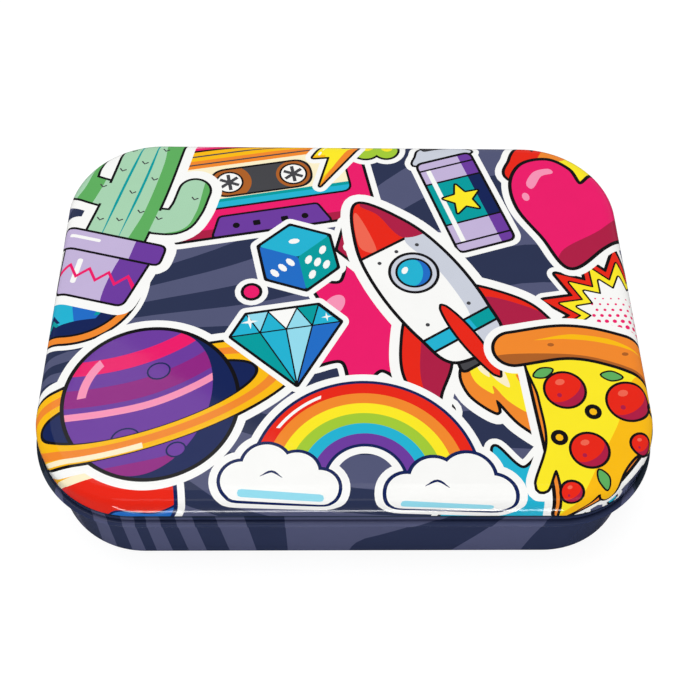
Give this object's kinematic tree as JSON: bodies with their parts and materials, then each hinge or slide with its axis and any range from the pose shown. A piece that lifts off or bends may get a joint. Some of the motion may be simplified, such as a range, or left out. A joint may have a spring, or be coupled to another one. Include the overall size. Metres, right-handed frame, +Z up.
{
  "type": "hinged tin box",
  "caption": "Shallow rounded-corner tinplate box: a drawn tray and an overlapping hinged lid with a rolled rim, printed all over.",
  "frame": {"origin": "centre of the resting face under the closed box, on the surface that it stands on", "axes": "+Z up, +X along the width to the right as seen from the front, front towards -Y, hinge at +Y"},
  "size_m": [0.1488, 0.1116, 0.032],
  "materials": {
    "tray_print": "gloss varnished print",
    "lid_print": "gloss varnished print",
    "bare_tinplate": "lacquered bright tinplate",
    "hinge_wire": "drawn steel wire"
  },
  "bodies": {
    "tray": {"tray": "tray_print"},
    "lid": {"lid": "lid_print", "hinge_wire_left": "hinge_wire", "hinge_wire_right": "hinge_wire"}
  },
  "joints": [
    {"name": "lid_hinge", "type": "hinge", "parent": "tray", "child": "lid", "pos_m": [0, 0.055, 0.02045], "axis": [-1, 0, 0], "range_deg": [0, 180]}
  ]
}
